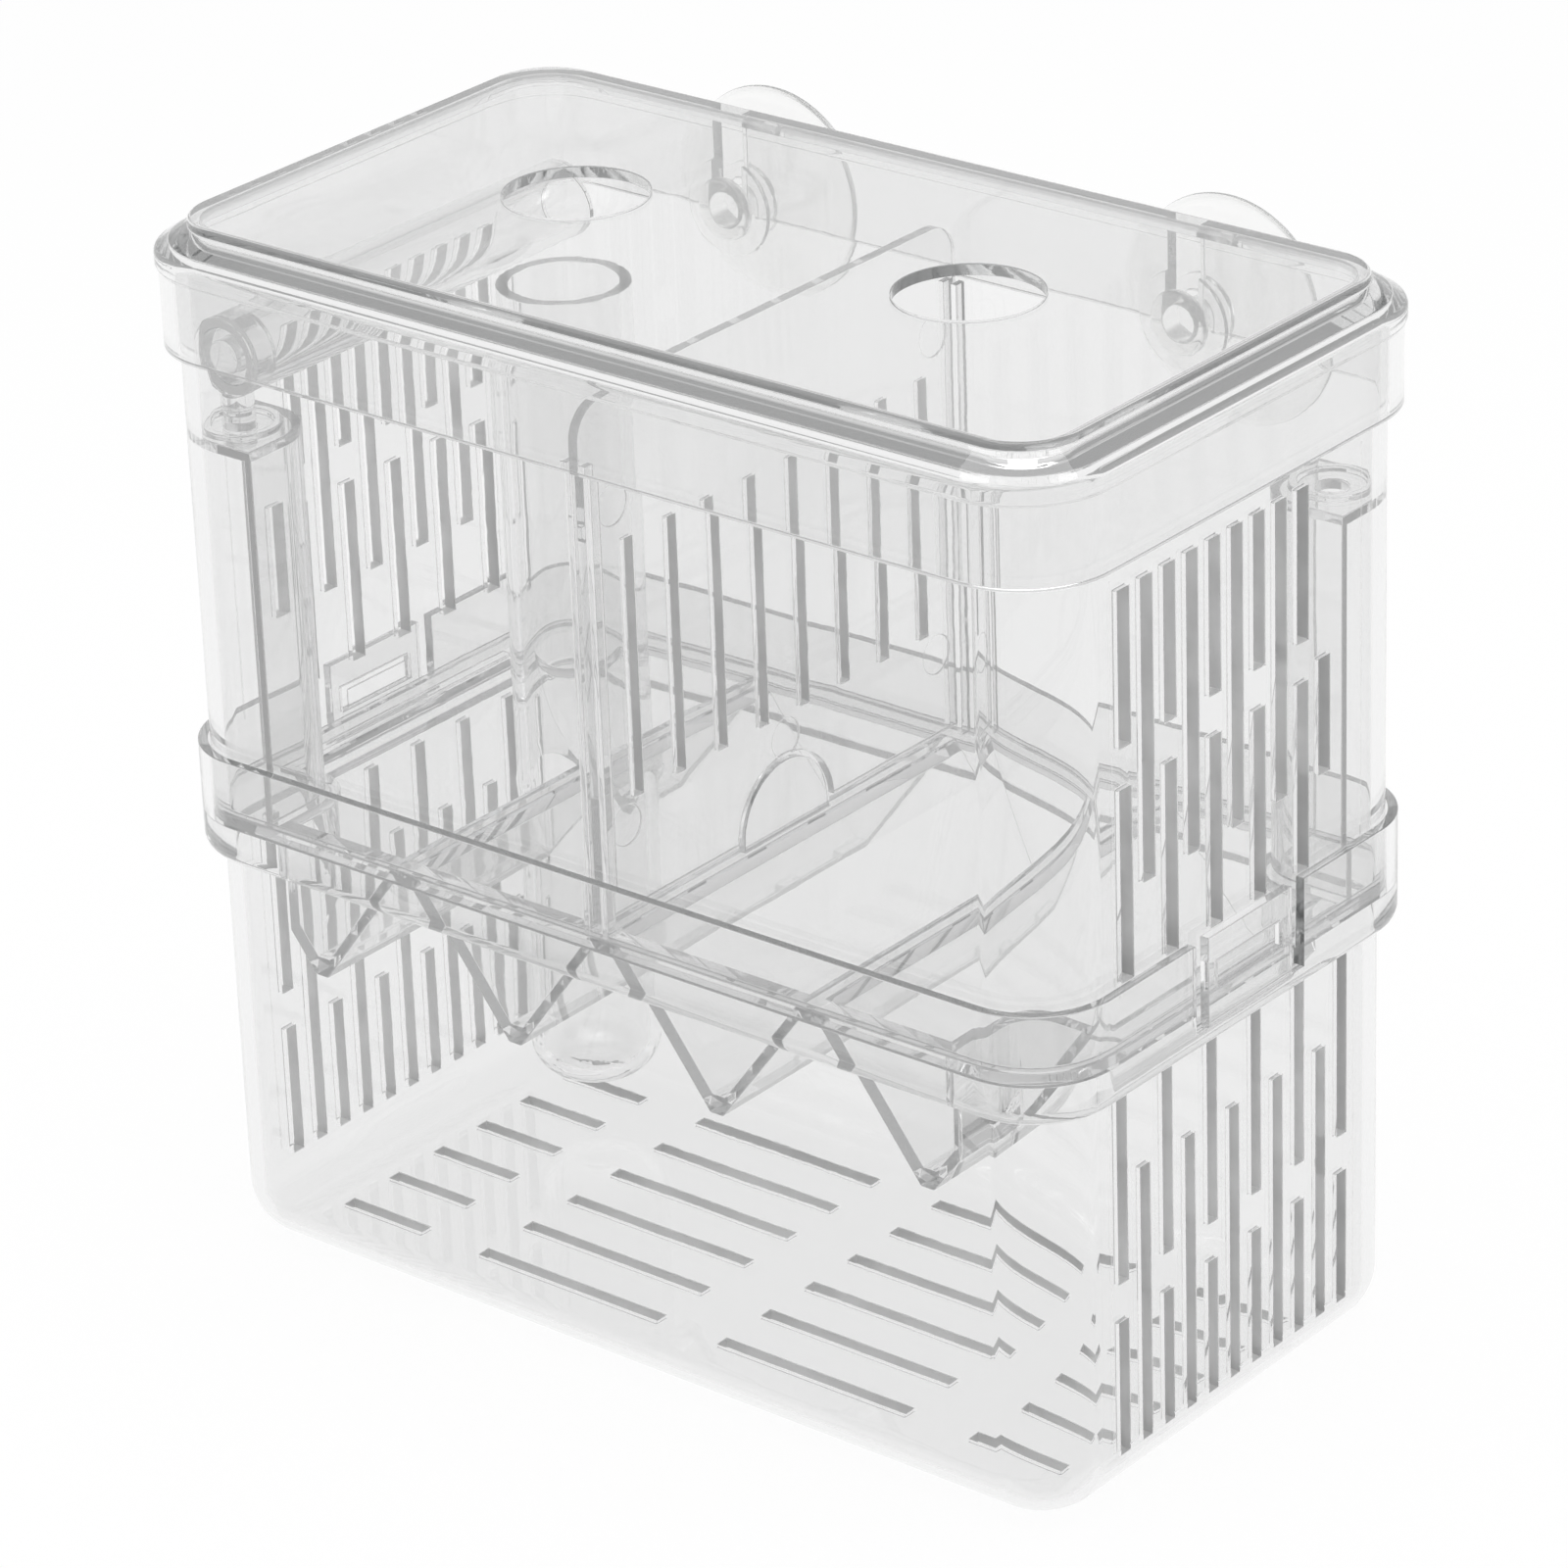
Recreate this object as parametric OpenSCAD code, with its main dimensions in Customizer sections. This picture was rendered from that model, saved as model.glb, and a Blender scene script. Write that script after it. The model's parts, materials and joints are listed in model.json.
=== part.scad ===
// Two-storey clear breeding box for live-bearing fish, hung inside an aquarium on two suction cups.
// X runs along the long side, the front wall faces -Y and Z is up. The origin is the centre of the base.

/* [Case] */
// Outside length of the lid skirt and of the collar on the lower box
case_l = 200; // [190:1:240]
// Outside depth of the lid skirt and of the collar on the lower box
case_d = 111; // [108:1:140]
// Outside corner radius of the lid skirt and of the collar
case_r = 16.5; // [16:0.5:20]
// Thickness of the walls of both boxes
wall = 2.6; // [2.4:0.1:2.8]
// Thickness of the lid skirt and of the collar
rim_wall = 1.8; // [1.6:0.1:2]
// Gap all round between pieces that slide into one another
slip = 0.4; // [0.3:0.05:0.5]
// Gap under a piece that rests on the piece below it
seat_gap = 0.3; // [0.2:0.05:0.4]

/* [Lower box] */
// Height of the lower box, from the base to the top of its collar
lower_h = 100.7; // [95:0.1:137]
// How far the walls of the lower box are set in from the collar
lower_step = 3.6; // [3.2:0.1:4]
// Radius along the bottom edge of the lower box, outside
base_edge = 11; // [8:0.5:11.5]
// Thickness of the floor
floor_t = 2; // [1.6:0.1:2.4]
// Height of the collar band on the outside
band_h = 21.2; // [19:0.1:23]
// Radius along the bottom edge of the collar band
band_edge = 3.4; // [2:0.1:3.4]
// Depth of the ledge that carries the tray, below the collar's top
ledge_drop = 13.7; // [12:0.1:16]

/* [Wall slots] */
// Distance between two slots in the short walls of the lower box
lower_pitch = 6.45; // [6:0.05:6.6]
// Number of slot columns in a short wall of the lower box
lower_cols = 11; // [3:2:11]
// Width of a slot in the lower box
lower_slot_w = 2.7; // [2:0.1:3.2]
// Height of the bottom of the slots in the lower box
lower_slot_low = 9.8; // [9.6:0.1:12]
// Length of the lower slot of a pair in the lower box
lower_slot_short = 25.8; // [20:0.1:28]
// Height of the web between the two slots of a pair
slot_web = 7.5; // [5:0.1:9]
// Length of the long single slots in the lower box
lower_slot_long = 52.9; // [30:0.1:60]
// Distance between the slots and the collar band above them
slot_band_gap = 1.1; // [0.8:0.1:3]
// Distance between two slots in the short walls of the upper box
upper_pitch = 6.3; // [5.8:0.05:6.4]
// Number of slot columns in a short wall of the upper box
upper_cols = 10; // [2:2:10]
// Width of a slot in the upper box
upper_slot_w = 3.2; // [2.4:0.1:3.6]
// Height of the lowest slots above the lower edge of the upper box
upper_slot_low = 10.7; // [8:0.1:12]
// Length of the lower slot of a pair in the upper box
upper_slot_short = 35; // [28:0.1:38]
// Height of the start of the single slots above the lower edge of the upper box
upper_slot_rise = 26.7; // [20:0.1:30]
// Distance between the top of the slots and the rim of the upper box
upper_slot_drop = 24; // [22:0.1:30]
// Length of the single slot nearest the rear corner duct
upper_slot_last = 21.5; // [10:0.1:30]
// How far the slots of the upper box stand off the middle, away from the corner duct
upper_slot_shift = 3.5; // [0:0.1:4]

/* [Floor slots] */
// Distance between two rows of floor slots
floor_pitch = 12.5; // [10:0.1:13]
// Number of rows of floor slots
floor_rows = 6; // [2:1:6]
// Width of a floor slot
floor_slot_w = 2.6; // [2:0.1:3.2]
// Length of the long floor slots in the middle of a row
floor_long = 42.4; // [30:0.1:43]
// Length of the short floor slots at the ends of a row
floor_short = 19; // [12:0.1:20]
// Gap between two floor slots in a row
floor_gap = 14.2; // [8:0.1:14.4]

/* [Snap latches] */
// Half the width of a latch tongue
tongue_half = 12.2; // [10:0.1:14]
// Width of the slit beside a latch tongue
slit_w = 3.5; // [2.5:0.1:4]
// Height of a latch tongue
tongue_h = 16.7; // [15:0.1:17]
// Width of the window in a latch tongue
window_w = 18.8; // [12:0.1:19]
// Height of the window in a latch tongue
window_h = 4.9; // [4:0.1:5.5]
// Distance between the window and the top of the tongue
window_drop = 5.4; // [4.5:0.1:6]
// Radius of the rounded foot on which a tongue bends
foot_r = 0.75; // [0.6:0.05:0.8]
// Running gap round the foot of a tongue
foot_gap = 0.05; // [0.03:0.01:0.08]
// How far the catch stands out from the wall of the upper box
catch_out = 0.2; // [0.1:0.05:0.25]

/* [Trough tray] */
// Thickness of the tray's flange
flange_t = 2.2; // [1.8:0.1:2.6]
// Thickness of the walls at the ends of the troughs
tray_wall = 1.6; // [1.4:0.1:2]
// Upright thickness of the sloping trough walls
slope_t = 3.2; // [2.4:0.1:3.6]
// Gap between the troughs and the walls of the lower box
basin_gap = 0.5; // [0.4:0.1:1.5]
// Number of V-shaped troughs
troughs = 4; // [4:1:5]
// Depth of a trough
trough_depth = 26; // [20:0.5:32]
// Width of the flat top of a ridge between two troughs
ridge_w = 3.4; // [2.4:0.1:4]
// Width of the flat bottom of a trough
gutter_w = 2.8; // [2.4:0.1:4]
// Width of the fry slits in the trough bottoms
fry_slit_w = 1.8; // [1.2:0.1:2.2]
// Length of a fry slit
fry_slit_l = 12; // [8:0.5:14]
// Distance between two fry slits
fry_pitch = 17; // [15:0.5:19]
// Size of the square corner left out of the trough basin
notch = 17.5; // [16:0.5:18]
// Radius of the rounded corner of that square
notch_r = 9; // [6:0.5:10]
// Radius of the finger tab on the middle of the tray
tab_r = 12; // [9:0.5:14]
// Thickness of the finger tab
tab_t = 1.6; // [1.4:0.1:2]
// Height of the centre of the finger tab above the flange
tab_rise = 1.5; // [1:0.1:3]

/* [Upper box] */
// Height of the upper box
upper_h = 105.2; // [95:0.1:140]
// Distance of a suction cup seat from the inside of the nearer short wall
seat_from_side = 44.6; // [34:0.1:55]
// Depth of a seat's centre below the rim
seat_drop = 16.5; // [14:0.1:18]
// Width of the notch that leads to a seat
seat_w = 6.8; // [6.4:0.1:8]
// Radius of the boss round a seat
boss_r = 9.2; // [8:0.1:11]
// Thickness of the boss round a seat
boss_t = 0.8; // [0.6:0.1:2]
// Thickness of a divider guide rib
rib_t = 1.2; // [1:0.1:2.2]
// How far a guide rib stands out from the wall
rib_out = 2.4; // [2:0.1:4]
// Depth of the top of the guide ribs below the rim
rib_drop = 18; // [14:0.5:40]

/* [Corner ducts] */
// Length of a duct along X, from the inside of the short wall
duct_l = 19.6; // [18:0.1:22]
// Depth of a duct along Y, from the inside of the long wall
duct_d = 19.2; // [18:0.1:21]
// Radius of the rounded inner corner of a duct
duct_r = 10; // [8:0.5:12]
// Thickness of a duct's wall
duct_wall = 1.6; // [1.4:0.1:2]
// Depth of a duct's cap below the rim
duct_drop = 34; // [30:0.5:40]
// Thickness of a duct's cap
cap_t = 2; // [1.6:0.1:2.4]
// Radius of the hole in a duct's cap
cap_hole_r = 2.9; // [2.6:0.05:3.2]
// Distance of that hole from the inside of the short wall
cap_hole_x = 9.2; // [9:0.1:11]
// Distance of that hole from the inside of the long wall
cap_hole_y = 8.7; // [8.4:0.1:11]
// Outside radius of the raised ring round that hole
cap_ring_r = 7.5; // [6.5:0.1:8]
// Width of that ring
cap_ring_w = 1.5; // [1:0.1:2]
// Height of that ring above the cap
cap_ring_h = 1; // [0.6:0.1:1.5]

/* [Divider] */
// Thickness of the divider
divider_t = 2; // [1.6:0.1:2.4]
// Distance between the divider and the tray flange below it
divider_rise = 1.9; // [1.5:0.1:3]
// Depth of the divider's top below the rim
divider_drop = 8; // [6:0.5:20]
// Radius of the divider's upper corners
divider_r = 6.5; // [4:0.5:9]
// Number of slots in the divider
divider_slots = 8; // [2:1:8]
// Distance between two divider slots
divider_pitch = 11.4; // [8:0.1:12]
// Width of a divider slot
divider_slot_w = 2.4; // [1.8:0.1:3]
// Length of a divider slot
divider_slot_h = 48; // [30:0.5:55]
// Height of the divider slots above the divider's lower edge
divider_slot_low = 20.4; // [18:0.1:24]
// Distance of the outer ejector marks from the divider's upright edges
mark_side = 7; // [5:0.5:10]
// Height of the lower ejector marks above the divider's lower edge
mark_low = 16; // [10:0.5:18]
// Distance of the upper ejector marks from the divider's top
mark_high = 20; // [12:0.5:24]
// Radius of the round ejector marks
mark_r = 3.8; // [3:0.1:5]
// Depth of the round ejector marks
mark_t = 0.2; // [0.15:0.05:0.3]

/* [Lid] */
// Depth of the skirt below the lid's seat on the rim
skirt_h = 18.7; // [15:0.1:22]
// Height of the lid's top above its seat on the rim
lid_rise = 4.7; // [4.5:0.1:6]
// How far the skirt stands out past the collar of the lower box
skirt_out = 0.6; // [0.3:0.1:0.7]
// How far the lip stands out past the collar of the lower box
lip_out = 1.2; // [0.9:0.1:1.5]
// Height of the lip
lip_h = 3.5; // [3:0.1:4]
// Radius along the lower edge of the lip
lip_edge = 1.1; // [0.8:0.1:1.2]
// Height of the step between the sloping shoulder and the raised panel
step_h = 1.5; // [1:0.1:1.8]
// Height of the sloping shoulder, from the lip to the step
shoulder_h = 3.8; // [3:0.1:4]
// Radius along the outer edge of the shoulder
shoulder_edge = 1.6; // [1:0.1:2]
// Distance of the raised panel from the outside of the case
band_w = 5; // [4.6:0.1:8]
// Radius along the upper edge of the raised panel
panel_edge = 0.7; // [0.4:0.1:0.9]
// Thickness of the raised panel
panel_t = 2.2; // [1.8:0.1:2.4]
// Radius of a feed hole
feed_r = 13.1; // [10:0.1:18]
// Distance of a feed hole from the middle
feed_x = 43; // [30:0.5:60]
// Half the width of the slot in the skirt that clears a cup's neck
neck_slot = 4.4; // [4:0.1:6]

/* [Suction cups] */
// Radius of a suction cup
cup_r = 20.5; // [16:0.5:22]
// Depth of a suction cup, from its collar to its rim
cup_depth = 7.4; // [5:0.1:10]
// Thickness of a suction cup at its rim
cup_lip = 1.2; // [0.8:0.1:1.6]
// Radius of the collar behind a suction cup
cup_collar_r = 7; // [5.5:0.1:9]
// Thickness of a suction cup in its middle
cup_core = 3.2; // [2.5:0.1:4]
// Radius of the neck of a suction cup
neck_r = 3; // [2.4:0.1:3]
// Radius of the head that holds a suction cup in its seat
head_r = 6; // [4.2:0.1:6.5]
// Thickness of the head
head_t = 2.2; // [1.8:0.1:4]

/* [Tubes] */
// Outside radius of the upright tube
tube_r = 12.4; // [10:0.1:12.8]
// Thickness of the upright tube
tube_wall = 2.3; // [1.4:0.1:2.4]
// Radius of the rounded bottom of the upright tube
tube_foot_r = 8; // [4:0.5:9]
// Distance of the upright tube's axis from the inside of the left wall
tube_from_side = 27.2; // [26:0.1:33]
// Distance of the upright tube's axis from the inside of the rear wall
tube_from_rear = 26.9; // [26.5:0.1:35]
// Height of the bottom of the upright tube above the floor
tube_rise = 9; // [2:0.1:14]
// Sliding fit of the upright tube in the hole of the tray, which holds it at its height
tube_gap = 0.08; // [0.04:0.01:0.1]
// Gap between the upright tube and the cross pipe above it
pipe_gap = 0.5; // [0.4:0.1:3]
// Outside radius of the cross pipe
pipe_r = 7.5; // [6.8:0.1:7.6]
// Thickness of the cross pipe
pipe_wall = 2.1; // [1.6:0.1:2.4]
// Gap between the rear end of the cross pipe and the rear wall
pipe_back = 5.7; // [4:0.1:30]
// How far the cross pipe runs to the front, past the spigot's axis
pipe_ahead = 1; // [0.6:0.1:1.1]
// Height of the cross pipe's axis below the rim of the upper box
pipe_drop = 20.3; // [13:0.1:22]
// Radius of the spigot that stands in the duct's cap
spigot_r = 2.84; // [2.4:0.01:2.84]
// How far the spigot reaches below the top of the duct's cap
spigot_reach = 5; // [3:0.1:8]
// Thickness of the flange of the end plug
plug_t = 1.4; // [1:0.1:1.6]
// Length of the end plug inside the cross pipe
plug_l = 6; // [4:0.1:8]

/* [Hidden] */
$fn = 96;
EPS = 0.01;
CLEAR = [0.86, 0.89, 0.91, 0.45];
CLEAR_DEEP = [0.8, 0.84, 0.87, 0.55];
VINYL = [0.9, 0.91, 0.9, 0.6];

// Plan sizes: [length, depth, corner radius]
case_plan = [case_l, case_d, case_r];
rim_plan = inset(case_plan, rim_wall);
upper_plan = inset(rim_plan, slip);
upper_in = inset(upper_plan, wall);
lower_plan = inset(case_plan, lower_step);
lower_in = inset(lower_plan, wall);

// Heights above the base
band_z = lower_h - band_h;
ledge_z = lower_h - ledge_drop;
tray_z = ledge_z + seat_gap;
tray_top = tray_z + flange_t;
upper_z = tray_top + seat_gap;
upper_top = upper_z + upper_h;
lid_z = upper_top + seat_gap;
lid_top = lid_z + lid_rise;
seat_z = upper_top - seat_drop;
duct_top = upper_top - duct_drop;
pipe_z = upper_top - pipe_drop;
divider_z = tray_top + divider_rise;
tab_z = tray_top + tab_rise;
tongue_z = lower_h - tongue_h;

// Inside faces of the upper box, and what stands on them
inner_x = upper_in[0] / 2;
inner_y = upper_in[1] / 2;
duct_hole_x = inner_x - cap_hole_x;
duct_hole_y = inner_y - cap_hole_y;
pipe_front_y = -duct_hole_y - pipe_ahead;
pipe_l = inner_y - pipe_back - pipe_front_y;
tube_x = -inner_x + tube_from_side;
tube_y = inner_y - tube_from_rear;
foot_x = case_l / 2 - rim_wall / 2;
rib_in = divider_t / 2 + slip;
seat_x = inner_x - seat_from_side;

// The trough basin, inside
basin_l = lower_in[0] - 2 * (tray_wall + basin_gap);
basin_d = lower_in[1] - 2 * (tray_wall + basin_gap);
trough_pitch = basin_l / troughs;

// A plan set in by a distance on every side, about the same corner centres
function inset(plan, by) = [plan[0] - 2 * by, plan[1] - 2 * by, plan[2] - by];

// Upright prism on a plan with round corners
module slab(plan, h) {
    l = plan[0];
    d = plan[1];
    r = plan[2];
    linear_extrude(h) {
        square([l - 2 * r, d], center = true);
        square([l, d - 2 * r], center = true);
        for (sx = [-1, 1], sy = [-1, 1])
            translate([sx * (l / 2 - r), sy * (d / 2 - r)])
                circle(r);
    }
}

// Section of width w and height h with both bottom corners rounded to radius e
module soft_section(w, h, e) {
    translate([-w / 2, e])
        square([w, h - e]);
    translate([e - w / 2, 0])
        square([w - 2 * e, h]);
    for (side = [-1, 1])
        translate([side * (w / 2 - e), e])
            circle(e);
}

// Right half of that section, to be turned about its middle
module half_section(r, h, e) {
    intersection() {
        soft_section(2 * r, h, e);
        square([r, h]);
    }
}

// Upright prism on a plan with round corners, its bottom edge rounded to radius e
module soft_slab(plan, h, e) {
    l = plan[0];
    d = plan[1];
    r = plan[2];
    rotate([90, 0, 90])
        linear_extrude(l - 2 * r, center = true)
            soft_section(d, h, e);
    rotate([90, 0, 0])
        linear_extrude(d - 2 * r, center = true)
            soft_section(l, h, e);
    for (sx = [-1, 1], sy = [-1, 1])
        translate([sx * (l / 2 - r), sy * (d / 2 - r)])
            rotate_extrude()
                half_section(r, h, e);
}

// Both short walls: the child on the right wall, and turned half a turn for the left wall
module both_ends() {
    children();
    rotate([0, 0, 180])
        children();
}

// Upright slot through a short wall, from z0 to z1
module wall_slot(face_x, y, w, z0, z1) {
    translate([face_x - 1.5 * wall, y - w / 2, z0])
        cube([2 * wall, w, z1 - z0]);
}

module lower_slots() {
    face = lower_plan[0] / 2;
    top = band_z - slot_band_gap;
    web = lower_slot_low + lower_slot_short;
    for (k = [0 : lower_cols - 1]) {
        y = (k - (lower_cols - 1) / 2) * lower_pitch;
        if (k % 2 == 0) {
            wall_slot(face, y, lower_slot_w, lower_slot_low, web);
            wall_slot(face, y, lower_slot_w, web + slot_web, top);
        } else {
            wall_slot(face, y, lower_slot_w, lower_slot_low, lower_slot_low + lower_slot_long);
        }
    }
}

module upper_slots() {
    face = upper_plan[0] / 2;
    low = upper_z + upper_slot_low;
    web = low + upper_slot_short;
    rise = upper_z + upper_slot_rise;
    top = upper_top - upper_slot_drop;
    for (k = [0 : upper_cols - 1]) {
        y = (k - (upper_cols - 1) / 2) * upper_pitch - upper_slot_shift;
        if (k % 2 == 0) {
            wall_slot(face, y, upper_slot_w, low, web);
            wall_slot(face, y, upper_slot_w, web + slot_web, top);
        } else if (k < upper_cols - 1) {
            wall_slot(face, y, upper_slot_w, rise, top);
        } else {
            wall_slot(face, y, upper_slot_w, rise, rise + upper_slot_last);
        }
    }
}

// Rows of short, long, long and short slots in the floor
module floor_slots() {
    lengths = [floor_short, floor_long, floor_long, floor_short];
    starts = [0, floor_short + floor_gap, floor_short + floor_long + 2 * floor_gap,
        floor_short + 2 * floor_long + 3 * floor_gap];
    field = starts[3] + floor_short;
    for (row = [0 : floor_rows - 1], k = [0 : 3]) {
        x = starts[k] - field / 2;
        y = (row - (floor_rows - 1) / 2) * floor_pitch;
        translate([x, y - floor_slot_w / 2, -1])
            cube([lengths[k], floor_slot_w, floor_t + 2]);
    }
}

// Room for a latch tongue in the right end of the collar, with the groove for its foot
module tongue_room() {
    half = tongue_half + slit_w;
    translate([rim_plan[0] / 2 - slip, -half, tongue_z])
        cube([rim_wall + slip + 1, 2 * half, tongue_h + 1]);
    translate([foot_x, 0, tongue_z])
        rotate([90, 0, 0])
            cylinder(r = foot_r + foot_gap, h = 2 * (tongue_half + slip), center = true);
}

module lower_box() {
    color(CLEAR_DEEP)
        difference() {
            union() {
                soft_slab(lower_plan, band_z + band_edge, base_edge);
                translate([0, 0, band_z])
                    soft_slab(case_plan, band_h, band_edge);
            }
            translate([0, 0, floor_t])
                soft_slab(lower_in, lower_h, base_edge - wall);
            translate([0, 0, ledge_z])
                slab(rim_plan, lower_h);
            both_ends() {
                lower_slots();
                tongue_room();
            }
            floor_slots();
        }
}

// Latch tongue at the right end: a plate with a window, on a rounded foot
module latch_tongue() {
    window_z = lower_h - window_drop - window_h;
    difference() {
        union() {
            translate([rim_plan[0] / 2, -tongue_half, tongue_z + seat_gap])
                cube([rim_wall, 2 * tongue_half, tongue_h - seat_gap]);
            translate([foot_x, 0, tongue_z])
                rotate([90, 0, 0])
                    cylinder(r = foot_r, h = 2 * tongue_half, center = true);
        }
        translate([rim_plan[0] / 2 - 1, -window_w / 2, window_z])
            cube([rim_wall + 2, window_w, window_h]);
    }
}

module latch_tongue_right() {
    color(CLEAR_DEEP)
        latch_tongue();
}

module latch_tongue_left() {
    color(CLEAR_DEEP)
        rotate([0, 0, 180])
            latch_tongue();
}

// Plan of the trough basin: a rectangle with a rounded square left out at each corner
module basin_plan(l, d, r) {
    difference() {
        square([l, d], center = true);
        for (sx = [0, 1], sy = [0, 1])
            mirror([sx, 0])
                mirror([0, sy])
                    translate([l / 2 - notch, d / 2 - notch]) {
                        translate([r, 0])
                            square([notch, notch + 1]);
                        translate([0, r])
                            square([notch + 1, notch]);
                        translate([r, r])
                            circle(r);
                    }
    }
}

// All that lies above the trough surface, up to a height over the flange
module above_troughs(top) {
    low = tray_top - trough_depth;
    points = [for (k = [0 : troughs - 1])
        let (x = -basin_l / 2 + k * trough_pitch)
        each [
            [x + ridge_w / 2, tray_top],
            [x + (trough_pitch - gutter_w) / 2, low],
            [x + (trough_pitch + gutter_w) / 2, low],
            [x + trough_pitch - ridge_w / 2, tray_top]
        ]];
    rotate([90, 0, 0])
        linear_extrude(case_d, center = true)
            polygon(concat([[-case_l, tray_top], [-case_l, top]], [[case_l, top], [case_l, tray_top]],
                [for (k = [len(points) - 1 : -1 : 0]) points[k]]));
}

// Slits along the bottom of every trough, except where the upright tube passes
module fry_slits() {
    count = 2 * floor((basin_d / 2 - fry_slit_l / 2 - tray_wall) / fry_pitch) + 1;
    for (k = [0 : troughs - 1], n = [0 : count - 1]) {
        x = -basin_l / 2 + (k + 0.5) * trough_pitch;
        y = (n - (count - 1) / 2) * fry_pitch;
        beside = abs(x - tube_x) > tube_r + tube_gap + fry_slit_w;
        if (beside || abs(y - tube_y) > tube_r + tube_gap + fry_slit_l / 2)
            translate([x - fry_slit_w / 2, y - fry_slit_l / 2, tray_top - trough_depth - slope_t - 1])
                cube([fry_slit_w, fry_slit_l, slope_t + 2]);
    }
}

// Round finger tab that stands on the middle ridge
module finger_tab() {
    intersection() {
        translate([0, 0, tab_z])
            rotate([0, 90, 0])
                cylinder(r = tab_r, h = tab_t, center = true);
        translate([-tab_t, -tab_r, tray_z])
            cube([2 * tab_t, 2 * tab_r, 2 * tab_r]);
    }
}

module trough_tray() {
    color(CLEAR) {
        difference() {
            union() {
                translate([0, 0, tray_z])
                    slab(upper_plan, flange_t);
                intersection() {
                    linear_extrude(tray_top)
                        basin_plan(basin_l + 2 * tray_wall, basin_d + 2 * tray_wall, notch_r - tray_wall);
                    translate([0, 0, -slope_t])
                        above_troughs(tray_top + slope_t);
                }
            }
            intersection() {
                translate([0, 0, tray_top - trough_depth - 1])
                    linear_extrude(2 * trough_depth)
                        basin_plan(basin_l, basin_d, notch_r);
                above_troughs(tray_top + 1);
            }
            fry_slits();
            translate([tube_x, tube_y, 0])
                cylinder(r = tube_r + tube_gap, h = lower_h);
        }
        finger_tab();
    }
}

// Pair of ribs that guide an edge of the divider, on the rear wall
module guide_ribs() {
    for (side = [0, 1])
        mirror([side, 0, 0])
            translate([rib_in, inner_y - rib_out, upper_z])
                cube([rib_t, rib_out + EPS, upper_h - rib_drop]);
}

// Boss round a suction cup seat, on the inside of the rear wall
module seat_boss() {
    translate([0, inner_y + EPS, seat_z])
        rotate([90, 0, 0])
            cylinder(r = boss_r, h = boss_t + EPS);
}

// Notch that opens at the rim and ends in a round seat
module seat_notch() {
    translate([0, inner_y - boss_t - 1, 0]) {
        translate([0, 0, seat_z])
            rotate([-90, 0, 0])
                cylinder(d = seat_w, h = wall + boss_t + 2);
        translate([-seat_w / 2, 0, seat_z])
            cube([seat_w, wall + boss_t + 2, seat_drop + 1]);
    }
}

module upper_box() {
    catch_w = window_w - 2;
    catch_h = window_h - 1.2;
    catch_z = lower_h - window_drop - window_h + 0.6;
    color(CLEAR)
        difference() {
            union() {
                difference() {
                    translate([0, 0, upper_z])
                        slab(upper_plan, upper_h);
                    translate([0, 0, upper_z - 1])
                        slab(upper_in, upper_h + 2);
                }
                guide_ribs();
                rotate([0, 0, 180])
                    guide_ribs();
                for (sx = [-1, 1])
                    translate([sx * seat_x, 0, 0])
                        seat_boss();
                both_ends()
                    translate([upper_plan[0] / 2 - EPS, -catch_w / 2, catch_z])
                        cube([catch_out + EPS, catch_w, catch_h]);
            }
            both_ends()
                upper_slots();
            for (sx = [-1, 1])
                translate([sx * seat_x, 0, 0])
                    seat_notch();
        }
}

// Outline of a corner duct, in the rear right corner, set in by a distance
module duct_plan(by) {
    l = duct_l - by;
    d = duct_d - by;
    r = duct_r - by;
    translate([inner_x - l + r, inner_y - d])
        square([l, d + by]);
    translate([inner_x - l, inner_y - d + r])
        square([l + by, d - r + by]);
    translate([inner_x - l + r, inner_y - d + r])
        circle(r);
}

// Corner duct in the rear right corner: a curved wall and a cap with a ringed hole
module corner_duct() {
    intersection() {
        translate([0, 0, upper_z])
            slab(upper_in, upper_h);
        union() {
            difference() {
                translate([0, 0, upper_z])
                    linear_extrude(duct_top - upper_z)
                        duct_plan(0);
                translate([0, 0, upper_z - 1])
                    linear_extrude(duct_top - upper_z - cap_t + 1)
                        duct_plan(duct_wall);
                translate([duct_hole_x, duct_hole_y, duct_top - cap_t - 1])
                    cylinder(r = cap_hole_r, h = cap_t + 2);
            }
            translate([duct_hole_x, duct_hole_y, duct_top - 0.5])
                difference() {
                    cylinder(r = cap_ring_r, h = cap_ring_h + 0.5);
                    translate([0, 0, -1])
                        cylinder(r = cap_ring_r - cap_ring_w, h = cap_ring_h + 3);
                }
        }
    }
}

module corner_duct_rear() {
    color(CLEAR)
        corner_duct();
}

module corner_duct_front() {
    color(CLEAR)
        rotate([0, 0, 180])
            corner_duct();
}

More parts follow.
